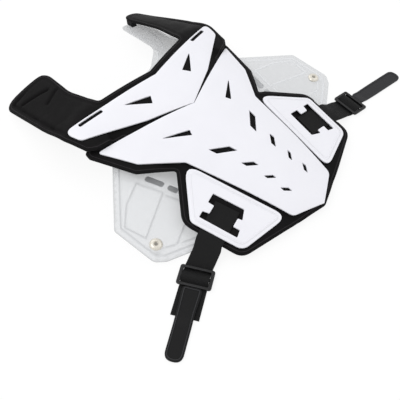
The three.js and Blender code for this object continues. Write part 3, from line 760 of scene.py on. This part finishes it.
def under_plates(points, sizes):
    """Highest level for the foam under the white plates and the straps, in the front's frame."""
    x, y = points.T[:2]
    folded = np.stack([np.abs(x), y], 1)
    level = np.full(len(x), np.inf)
    for ring, spots, top in ((both_halves(CHEST_PLATE), points, chest_top),
                             (both_halves(COLLAR_PLATE), points, collar_top),
                             (rounded(SIDE_PLATE), folded, side_top)):
        edge = edge_distance(spots, ring)
        plate = top(x, y) - roll_down(edge, sizes.roll) - sizes.plate - CLEARANCE
        level = np.where(edge > -2, np.minimum(level, plate), level)
    along, across = strap_axes(1, PAD_HEADING)
    reach = (folded - STRAP_EXIT) @ along
    aside = np.abs((folded - STRAP_EXIT) @ across)
    on_strap = (aside < sizes.webbing / 2 + STRAP_ROOM) & (reach > PAD_REACHES[0] - 2)
    channel = side_top(x, y) - UNDER_PLATE - STRAP_SINK - sizes.webbing_thick - CLEARANCE
    return np.where(on_strap, np.minimum(level, channel), level)


def ridge(distance, height, middle, reach):
    """Height of a soft ridge along a line."""
    return height * np.exp(-((distance - middle) / reach) ** 2)


def press_pad(pad, outline, top, sizes):
    """Raises the rim of a pad, presses its border line and folds, and keeps it under the plates."""
    points = places(pad)
    x, y = points.T[:2]
    edge = edge_distance(points, outline)
    upper = smoothstep(points[:, 2] - top(x, y), -4, -1)
    arm = shoulder_share(x, y) * smoothstep(np.abs(x), *ARM_SIDE)
    groove = ridge(edge, *[mix(a, b, arm) for a, b in zip(PAD_GROOVE, ARM_GROOVE)])
    folds = sum(ridge(line_distance(points[:, :2], line), depth, 0, reach) for line, depth, reach in FOLDS)
    points[:, 2] += upper * (ridge(edge, *RIM_RIDGE) - groove - folds)
    points[:, 2] = np.minimum(points[:, 2], under_plates(points, sizes))
    place(pad, front_to_part(points))
    keep(pad, "rim_mm", edge)
    # fold_mm marks the folds and the arm's groove for painted shade: the foam material turns its specular
    # down there.
    keep(pad, "fold_mm", upper * (0.45 * folds + 0.3 * arm * groove))


class VEST_OT_chest_pad(bpy.types.Operator):
    """Builds the foam pad under the chest plate and the side plates"""
    bl_idname = "vest.chest_pad"
    bl_label = "Chest Pad"

    def execute(self, context):
        sizes = sizes_in_mm()
        outline = both_halves(CHEST_PAD)
        pad, points, edge, share = raw_pad("foam_chest", outline, sizes.pad, SQUARES["chest_pad"])
        x, y = points.T[:2]
        thick = mix(sizes.border, sizes.pad, smoothstep(edge, 2, 12))
        top = chest_pad_top(x, y)
        points[:, 2] = mix(top - thick + beside_chest_plate(x, y)[1], top, share)
        place(pad, points)
        fill_pad(pad, (share < 0.7) | (edge < 4) | np.isfinite(under_plates(points, sizes)), 1.5)
        press_pad(pad, outline, chest_pad_top, sizes)
        finish(pad, material_of("polyester_knit", foam_cover), "foam", "chest_pad", angle=60)
        return {"FINISHED"}


class VEST_OT_collar_pad(bpy.types.Operator):
    """Builds the foam pad under the collar plate with both shoulder pads"""
    bl_idname = "vest.collar_pad"
    bl_label = "Collar Pad"

    def execute(self, context):
        sizes = sizes_in_mm()
        outline = both_halves(COLLAR_PAD)
        pad, points, edge, share = raw_pad("foam_collar", outline, sizes.pad, SQUARES["collar_pad"])
        x, y = points.T[:2]
        shoulder = shoulder_share(x, y)
        inner = mix(sizes.pad, sizes.shoulder, shoulder)
        border = mix(sizes.border, 2.5, smoothstep(y, 200, 250))
        thick = mix(border, inner, smoothstep(edge, 2, 14))
        top = collar_pad_top(x, y)
        points[:, 2] = mix(top - thick, top, share)
        place(pad, points)
        low = (share < 0.7) & (shoulder < 0.5)
        fill_pad(pad, low | (edge < 6) | np.isfinite(under_plates(points, sizes)), 3.5)
        press_pad(pad, outline, collar_pad_top, sizes)
        finish(pad, material_of("polyester_knit", foam_cover), "foam", "collar_pad", angle=60)
        return {"FINISHED"}


def rim_lines(ring, inset):
    """Lines inside a ring, along its longer straight sides."""
    for a, b in zip(ring, np.roll(ring, -1, axis=0)):
        reach = np.linalg.norm(b - a)
        if reach > 12:
            side = np.array([b[1] - a[1], a[0] - b[0]]) / reach * inset
            if edge_distance(np.array([(a + b) / 2 + side]), ring)[0] < 0:
                side = -side
            yield a + side, b + side


def shell_plate(outline, ribs, thick):
    """Flat shell cut along its raised lines, and which of its points are those of the slots' floors."""
    slots = both_sides([slot_ring(slot) for slot in SHELL_SLOTS])
    floors = [flat_plate("slot_floor", [ring], 0.8, 0.2, SQUARES["slot"]) for ring in slots]
    shell = flat_plate("clear_back", [outline, *slots], thick, 0.5, SQUARES["shell"])
    cut_lines(shell, ribs + [np.array(line) for line in rim_lines(outline, RIM_LINE)], RIB_REACH)
    walls = len(shell.data.vertices)
    select_only(shell)
    for part in floors:
        part.select_set(True)
    bpy.ops.object.join()
    return shell, np.arange(len(shell.data.vertices)) >= walls


class VEST_OT_back_shell(bpy.types.Operator):
    """Builds the clear back shell with its raised lines"""
    bl_idname = "vest.back_shell"
    bl_label = "Back Shell"

    def execute(self, context):
        sizes = sizes_in_mm()
        outline = both_halves(BACK_SHELL)
        ribs = [np.array(line, float) for line in SHELL_RIBS]
        ribs += [line * (-1, 1) for line in ribs]
        shell, in_slot = shell_plate(outline, ribs, sizes.shell)
        points = places(shell)
        edge = edge_distance(points, outline)
        near = np.min([line_distance(points[:, :2], line) for line in ribs], axis=0)
        near = np.minimum(near, np.abs(edge - RIM_LINE))
        rib = np.where(in_slot, 0, 1 - smoothstep(near, 0, RIB_REACH))
        level = shell_bottom(*points.T[:2]) + np.where(in_slot, 0.6, sizes.shell / 2)
        points[:, 2] += level + sizes.rib * rib * (points[:, 2] > 0)
        # Painted light and shade: the left wing is painted paler, its raised lines and rim darker as shade,
        # and the right wing's raised lines paler as highlights.
        left = smoothstep(-points[:, 0], 0, 60)
        shade = np.maximum(rib, 1.8 - 1.8 * smoothstep(edge, 0, 1.2))
        tone = mix(*SHELL_TONES, left) + mix(RIB_LIGHT_AND_SHADE[0] * rib, RIB_LIGHT_AND_SHADE[1] * shade, left)
        place(shell, shell_to_part(points))
        keep(shell, "tone", np.where(in_slot, mix(*SLOT_TONES, left), tone))
        keep(shell, "body", np.where(in_slot, SLOT_BODY, mix(SHELL_BODY, RIB_BODY, rib)))
        plastic = material_of("clear_polycarbonate", clear_plastic)
        finish(shell, plastic, "clear_plastic", "back_plate", angle=50)
        return {"FINISHED"}


class VEST_OT_rivets(bpy.types.Operator):
    """Turns the two domed rivets of the back shell"""
    bl_idname = "vest.rivets"
    bl_label = "Rivets"

    def execute(self, context):
        sizes = sizes_in_mm()
        head = sizes.rivet
        profile = [(0, 1.6), (2.4, 1.6), (2.9, 1.9), (3.1, 2.9), (3.5, 3.4), (4.4, 3.4), (6.2, 3.0),
                   (7.6, 2.2), (head - 0.5, 1.2), (head - 0.1, 0.8), (head, 0.4), (head - 0.3, 0.05), (3, 0),
                   (3, -2.8), (6, -2.85), (6, -4), (0, -4)]
        spots = [(r * MM, 0, z * MM) for r, z in profile]
        metal = material_of("nickel_plate", plated_metal)
        for side, sign in (("left", -1), ("right", 1)):
            mesh = bpy.data.meshes.new("rivet_" + side)
            mesh.from_pydata(spots, [(i, i + 1) for i in range(len(spots) - 1)], [])
            rivet = bpy.data.objects.new("rivet_" + side, mesh)
            bpy.context.scene.collection.objects.link(rivet)
            select_only(rivet)
            with editing():
                bpy.ops.mesh.select_all(action="SELECT")
                bpy.ops.mesh.spin(steps=40, angle=math.tau, center=(0, 0, 0), axis=(0, 0, 1))
                bpy.ops.mesh.select_all(action="SELECT")
                bpy.ops.mesh.remove_doubles(threshold=0.01 * MM)
                bpy.ops.mesh.normals_make_consistent(inside=False)
            keep(rivet, "hollow", np.hypot(*places(rivet)[:, :2].T) < 2.45)
            x, y = sign * RIVET_PLACE[0], RIVET_PLACE[1]
            slope = (shell_bottom(x, y + 4) - shell_bottom(x, y - 4)) / 8
            points = places(rivet) @ np.array(Matrix.Rotation(math.atan(slope), 3, "X")).T
            points += (x, y, shell_bottom(x, y) + sizes.shell + CLEARANCE)
            place(rivet, shell_to_part(points))
            finish(rivet, metal, "rivet", "back_rivet_" + side)
        return {"FINISHED"}


def under_shoulder(x, y):
    """Height over the floor of the shoulder pad's upper face at a place of the lying vest."""
    z = np.zeros(len(x))
    for _ in range(30):
        up = (y + z * math.sin(FRONT_TILT)) / math.cos(FRONT_TILT)
        z = collar_pad_top(x, up)
    return up * math.sin(FRONT_TILT) + z * math.cos(FRONT_TILT) + FRONT_LIFT


class VEST_OT_tabs(bpy.types.Operator):
    """Builds the two tabs between the shoulder pads and the back shell"""
    bl_idname = "vest.tabs"
    bl_label = "Shoulder Tabs"

    def execute(self, context):
        sizes = sizes_in_mm()
        rubber = material_of("black_rubber", moulded, dark="webbing", roughness=0.6, grain=0.8, shine=0.2)
        x0, y0, x1, y1 = TAB_BOX
        outline = rounded([(x0, y0, 2), (x1, y0, 2), (x1, y1, 4), (x0, y1, 4)])
        for side, ring in (("left", mirrored(outline)), ("right", outline)):
            tab = flat_plate("tab_" + side, [ring], 2, 0.5, SQUARES["tab"])
            points = places(tab)
            share = points[:, 2] / 2 + 0.5
            low = shell_bottom(*points.T[:2]) + sizes.shell + CLEARANCE
            high = under_shoulder(*points.T[:2]) - sizes.border - CLEARANCE
            points[:, 2] = mix(low, high, share)
            place(tab, points + VEST_OFFSET)
            finish(tab, rubber, "webbing", "shoulder_tab_" + side)
        return {"FINISHED"}


def pad_row(strap, reach):
    """Place of the strap on the pad under the side plate, and its direction across."""
    along, across = strap_axes(strap.sign, PAD_HEADING)
    middle = along * reach + across * strap.start + (strap.sign * STRAP_EXIT[0], STRAP_EXIT[1])
    spots = np.array([middle - across, middle + across])
    heights = side_top(spots[:, 0], spots[:, 1]) - UNDER_PLATE - STRAP_MIDDLE
    edges = front_to_part(np.column_stack([spots, heights]))
    return np.concatenate([edges.mean(0), (edges[1] - edges[0]) / 2])


def floor_row(strap, reach, height):
    """Place of the strap past the pad at a height over the floor, and its direction across."""
    along, across = strap_axes(strap.sign, strap.heading)
    start = front_to_part([(strap.sign * STRAP_EXIT[0], STRAP_EXIT[1], 0)])[0]
    shift = mix(strap.start, strap.aside, np.clip((reach + 5) / SWING, 0, 1))
    return np.array([*(start[:2] + along * reach + across * shift), height, *across, 0])


def even_rows(rows, lowest):
    """Rows along a path, smoothed, spaced evenly and kept off the floor, after their distances."""
    rows = np.asarray(rows, float)
    at = np.concatenate([[0], np.cumsum(np.linalg.norm(np.diff(rows[:, :3], axis=0), axis=1))])
    slope = np.gradient(rows, at, axis=0)
    spots = np.linspace(0, at[-1], int(at[-1] / ROW_STEP) + 1)
    i = np.clip(np.searchsorted(at, spots, side="right") - 1, 0, len(at) - 2)
    span = (at[i + 1] - at[i])[:, None]
    t = (spots - at[i])[:, None] / span
    smoothed = ((2 * t ** 3 - 3 * t ** 2 + 1) * rows[i] + (t ** 3 - 2 * t ** 2 + t) * span * slope[i]
                + (3 * t ** 2 - 2 * t ** 3) * rows[i + 1] + (t ** 3 - t ** 2) * span * slope[i + 1])
    smoothed[:, 2] = np.maximum(smoothed[:, 2], lowest)
    return spots, smoothed


def along_path(points, spots, rows):
    """Lays points (distance along, across, height) on a path of rows."""
    slope = np.gradient(rows[:, :3], spots, axis=0)
    slope /= np.linalg.norm(slope, axis=1)[:, None]
    across = rows[:, 3:6] / np.linalg.norm(rows[:, 3:6], axis=1)[:, None]
    up = np.cross(slope, across)

    def at(values):
        return np.stack([np.interp(points[:, 0], spots, values[:, k]) for k in range(3)], 1)

    return at(rows[:, :3]) + at(across) * points[:, 1:2] + at(up) * points[:, 2:3]


class VEST_OT_straps(bpy.types.Operator):
    """Lays the two webbing straps from the pad through the buckles"""
    bl_idname = "vest.straps"
    bl_label = "Straps"

    def execute(self, context):
        sizes = sizes_in_mm()
        webbing = material_of("polyester_webbing", woven_webbing, "UV")
        for side, strap in STRAPS.items():
            rows = [pad_row(strap, reach) for reach in PAD_REACHES]
            fall = strap.buckle + THROUGH_BUCKLE[0][0] - PAD_EDGE[0]
            for reach in FALLING:
                rows.append(floor_row(strap, reach, mix(PAD_EDGE[1], ON_FLOOR, (reach - PAD_EDGE[0]) / fall)))
            rows += [floor_row(strap, strap.buckle + reach, height) for reach, height in THROUGH_BUCKLE]
            rows += [floor_row(strap, reach, ON_FLOOR) for reach in (strap.buckle + 16, strap.end)]
            spots, rows = even_rows(rows, ON_FLOOR)
            bpy.ops.mesh.primitive_grid_add(x_subdivisions=len(spots) - 1, y_subdivisions=16, size=1)
            belt = context.object
            belt.name = "webbing_" + side
            points = places(belt) * MM
            run = (points[:, 0] + 0.5) * spots[-1]
            place(belt, along_path(np.stack([run, points[:, 1] * sizes.webbing, 0 * run], 1), spots, rows))
            sheet = belt.data.uv_layers.active
            sheet.name = "Length"
            flat = np.empty(len(sheet.data) * 2)
            sheet.data.foreach_get("uv", flat)
            sheet.data.foreach_set("uv", np.ravel(flat.reshape(-1, 2) * (spots[-1], sizes.webbing)))
            body = belt.modifiers.new("Body", "SOLIDIFY")
            body.thickness = sizes.webbing_thick * MM
            body.offset = 0
            apply_modifiers(belt)
            finish(belt, webbing, "webbing", "strap_" + side, angle=50)
        return {"FINISHED"}


class VEST_OT_buckles(bpy.types.Operator):
    """Moulds the two three-bar slides"""
    bl_idname = "vest.buckles"
    bl_label = "Buckles"

    def execute(self, context):
        sizes = sizes_in_mm()
        plastic = material_of("acetal", moulded, dark="buckle", roughness=0.38, grain=0.5, shine=0.45)
        reach, wide = sizes.buckle_length / 2, sizes.buckle_width / 2
        outline = corner_ring([(-reach, -wide), (reach, -wide), (reach, wide), (-reach, wide)], 4)
        far, half = reach - END_BAR, wide - BUCKLE_RAIL
        window = corner_ring([(HALF_BAR, -half), (far, -half), (far, half), (HALF_BAR, half)], 0.8)
        for side, strap in STRAPS.items():
            rings = [outline, window, mirrored(window)]
            slide = flat_plate("slide_" + side, rings, sizes.buckle_thick, 1.1)
            points = places(slide)
            points[:, 2] += sizes.buckle_thick / 2
            row = floor_row(strap, strap.buckle, BUCKLE_BOTTOM)
            along = np.cross(row[3:6], (0, 0, 1))
            axes = np.stack([along, row[3:6], (0, 0, 1)])
            place(slide, row[:3] + points @ axes)
            finish(slide, plastic, "buckle", "buckle_" + side, angle=50)
        return {"FINISHED"}


class VEST_OT_tongues(bpy.types.Operator):
    """Moulds the two rubber tongues at the ends of the straps"""
    bl_idname = "vest.tongues"
    bl_label = "Tongues"

    def execute(self, context):
        sizes = sizes_in_mm()
        rubber = material_of("grey_rubber", moulded, dark="rubber", roughness=0.5, grain=0.7, shine=0.2)
        half = sizes.tongue / 2
        for side, strap in STRAPS.items():
            start = strap.buckle + sizes.buckle_length / 2 + CLEARANCE
            reach = strap.tongue_end - start
            outline = rounded([(0, -half, 5), (reach, -half, half), (reach, half, half), (0, half, 5)], 12)
            tongue = flat_plate("tongue_strip_" + side, [outline], sizes.tongue_thick, 0.7)
            with editing():
                bpy.ops.mesh.select_all(action="DESELECT")
            top = max(tongue.data.polygons, key=lambda face: face.center.z * 1e6 + face.area)
            top.select = True
            with editing():
                bpy.ops.mesh.select_mode(type="FACE")
                for width, rise in TONGUE_BORDER:
                    bpy.ops.mesh.inset(thickness=width * MM, depth=rise * MM)
            cut_across(np.arange(3, reach, 3), (1, 0, 0))
            # Painted sheen: the raised border, and the right tongue by its share, are painted paler where
            # they would catch the light.
            ridge = places(tongue)[:, 2] > sizes.tongue_thick / 2 + 0.2
            keep(tongue, "roughness_and_painted_sheen", np.where(ridge, 1, strap.roughness_and_painted_sheen))
            heights = [(start, 0), (strap.end + 1, 0), (strap.end + 12, 1), (strap.tongue_end, 1)]
            rows = [floor_row(strap, spot, TONGUE_HEIGHTS[level]) for spot, level in heights]
            spots, rows = even_rows(rows, TONGUE_HEIGHTS[1])
            points = places(tongue)
            points[:, 1] *= 1 + strap.flare * (1 - smoothstep(points[:, 0], 0, 40))
            points[:, 0] *= spots[-1] / reach
            place(tongue, along_path(points, spots, rows))
            finish(tongue, rubber, "rubber", "tongue_" + side)
        return {"FINISHED"}


class VEST_OT_stage(bpy.types.Operator):
    """Sets the floor, the lights and the camera"""
    bl_idname = "vest.stage"
    bl_label = "Stage"

    def execute(self, context):
        scene = context.scene
        bpy.ops.mesh.primitive_plane_add(size=FLOOR_SIZE, location=(0, 0, -FLOOR_DROP))
        floor = context.object
        floor.name = "floor"
        floor.data.materials.append(material_of("white_paper", studio_floor))
        world = bpy.data.worlds.new("studio")
        world.use_nodes = True
        background = world.node_tree.nodes["Background"]
        background.inputs["Color"].default_value = (1, 1, 1, 1)
        background.inputs["Strength"].default_value = SKY_STRENGTH
        scene.world = world
        for name, spot, size, power in LAMPS:
            bpy.ops.object.light_add(type="AREA", location=spot)
            lamp = context.object
            lamp.name = name
            lamp.data.energy = power
            lamp.data.size = size
            lamp.rotation_euler = (-Vector(spot)).to_track_quat("-Z", "Y").to_euler()
        data = bpy.data.cameras.new("photo_view")
        data.lens = LENS
        data.sensor_width = SENSOR
        camera = bpy.data.objects.new("photo_view", data)
        camera.location = Vector(CAMERA_PLACE) * MM
        camera.rotation_euler = [math.radians(a) for a in CAMERA_TURN]
        scene.collection.objects.link(camera)
        scene.camera = camera
        scene.view_settings.view_transform = "Standard"
        return {"FINISHED"}


class VEST_PT_panel(bpy.types.Panel):
    """Lists the steps that build the vest"""
    bl_idname = "VEST_PT_panel"
    bl_label = "Protective Vest"
    bl_space_type = "VIEW_3D"
    bl_region_type = "UI"
    bl_category = "Vest"

    def draw(self, context):
        for operator in OPERATORS:
            self.layout.operator(operator.bl_idname)
        for group in (context.scene.vest_sizes, context.scene.vest_colours):
            for name in group.__annotations__:
                self.layout.prop(group, name)


OPERATORS = (VEST_OT_back_shell, VEST_OT_rivets, VEST_OT_chest_pad, VEST_OT_collar_pad, VEST_OT_tabs,
             VEST_OT_front_plates, VEST_OT_side_plates, VEST_OT_straps, VEST_OT_buckles, VEST_OT_tongues,
             VEST_OT_stage)
CLASSES = (VestSizes, VestColours, *OPERATORS, VEST_PT_panel)


def register():
    for cls in CLASSES:
        bpy.utils.register_class(cls)
    bpy.types.Scene.vest_sizes = PointerProperty(type=VestSizes)
    bpy.types.Scene.vest_colours = PointerProperty(type=VestColours)


def unregister():
    del bpy.types.Scene.vest_colours
    del bpy.types.Scene.vest_sizes
    for cls in reversed(CLASSES):
        bpy.utils.unregister_class(cls)


def main():
    register()
    bpy.ops.vest.back_shell()
    bpy.ops.vest.rivets()
    bpy.ops.vest.chest_pad()
    bpy.ops.vest.collar_pad()
    bpy.ops.vest.tabs()
    bpy.ops.vest.front_plates()
    bpy.ops.vest.side_plates()
    bpy.ops.vest.straps()
    bpy.ops.vest.buckles()
    bpy.ops.vest.tongues()
    bpy.ops.vest.stage()


if __name__ == "__main__":
    main()
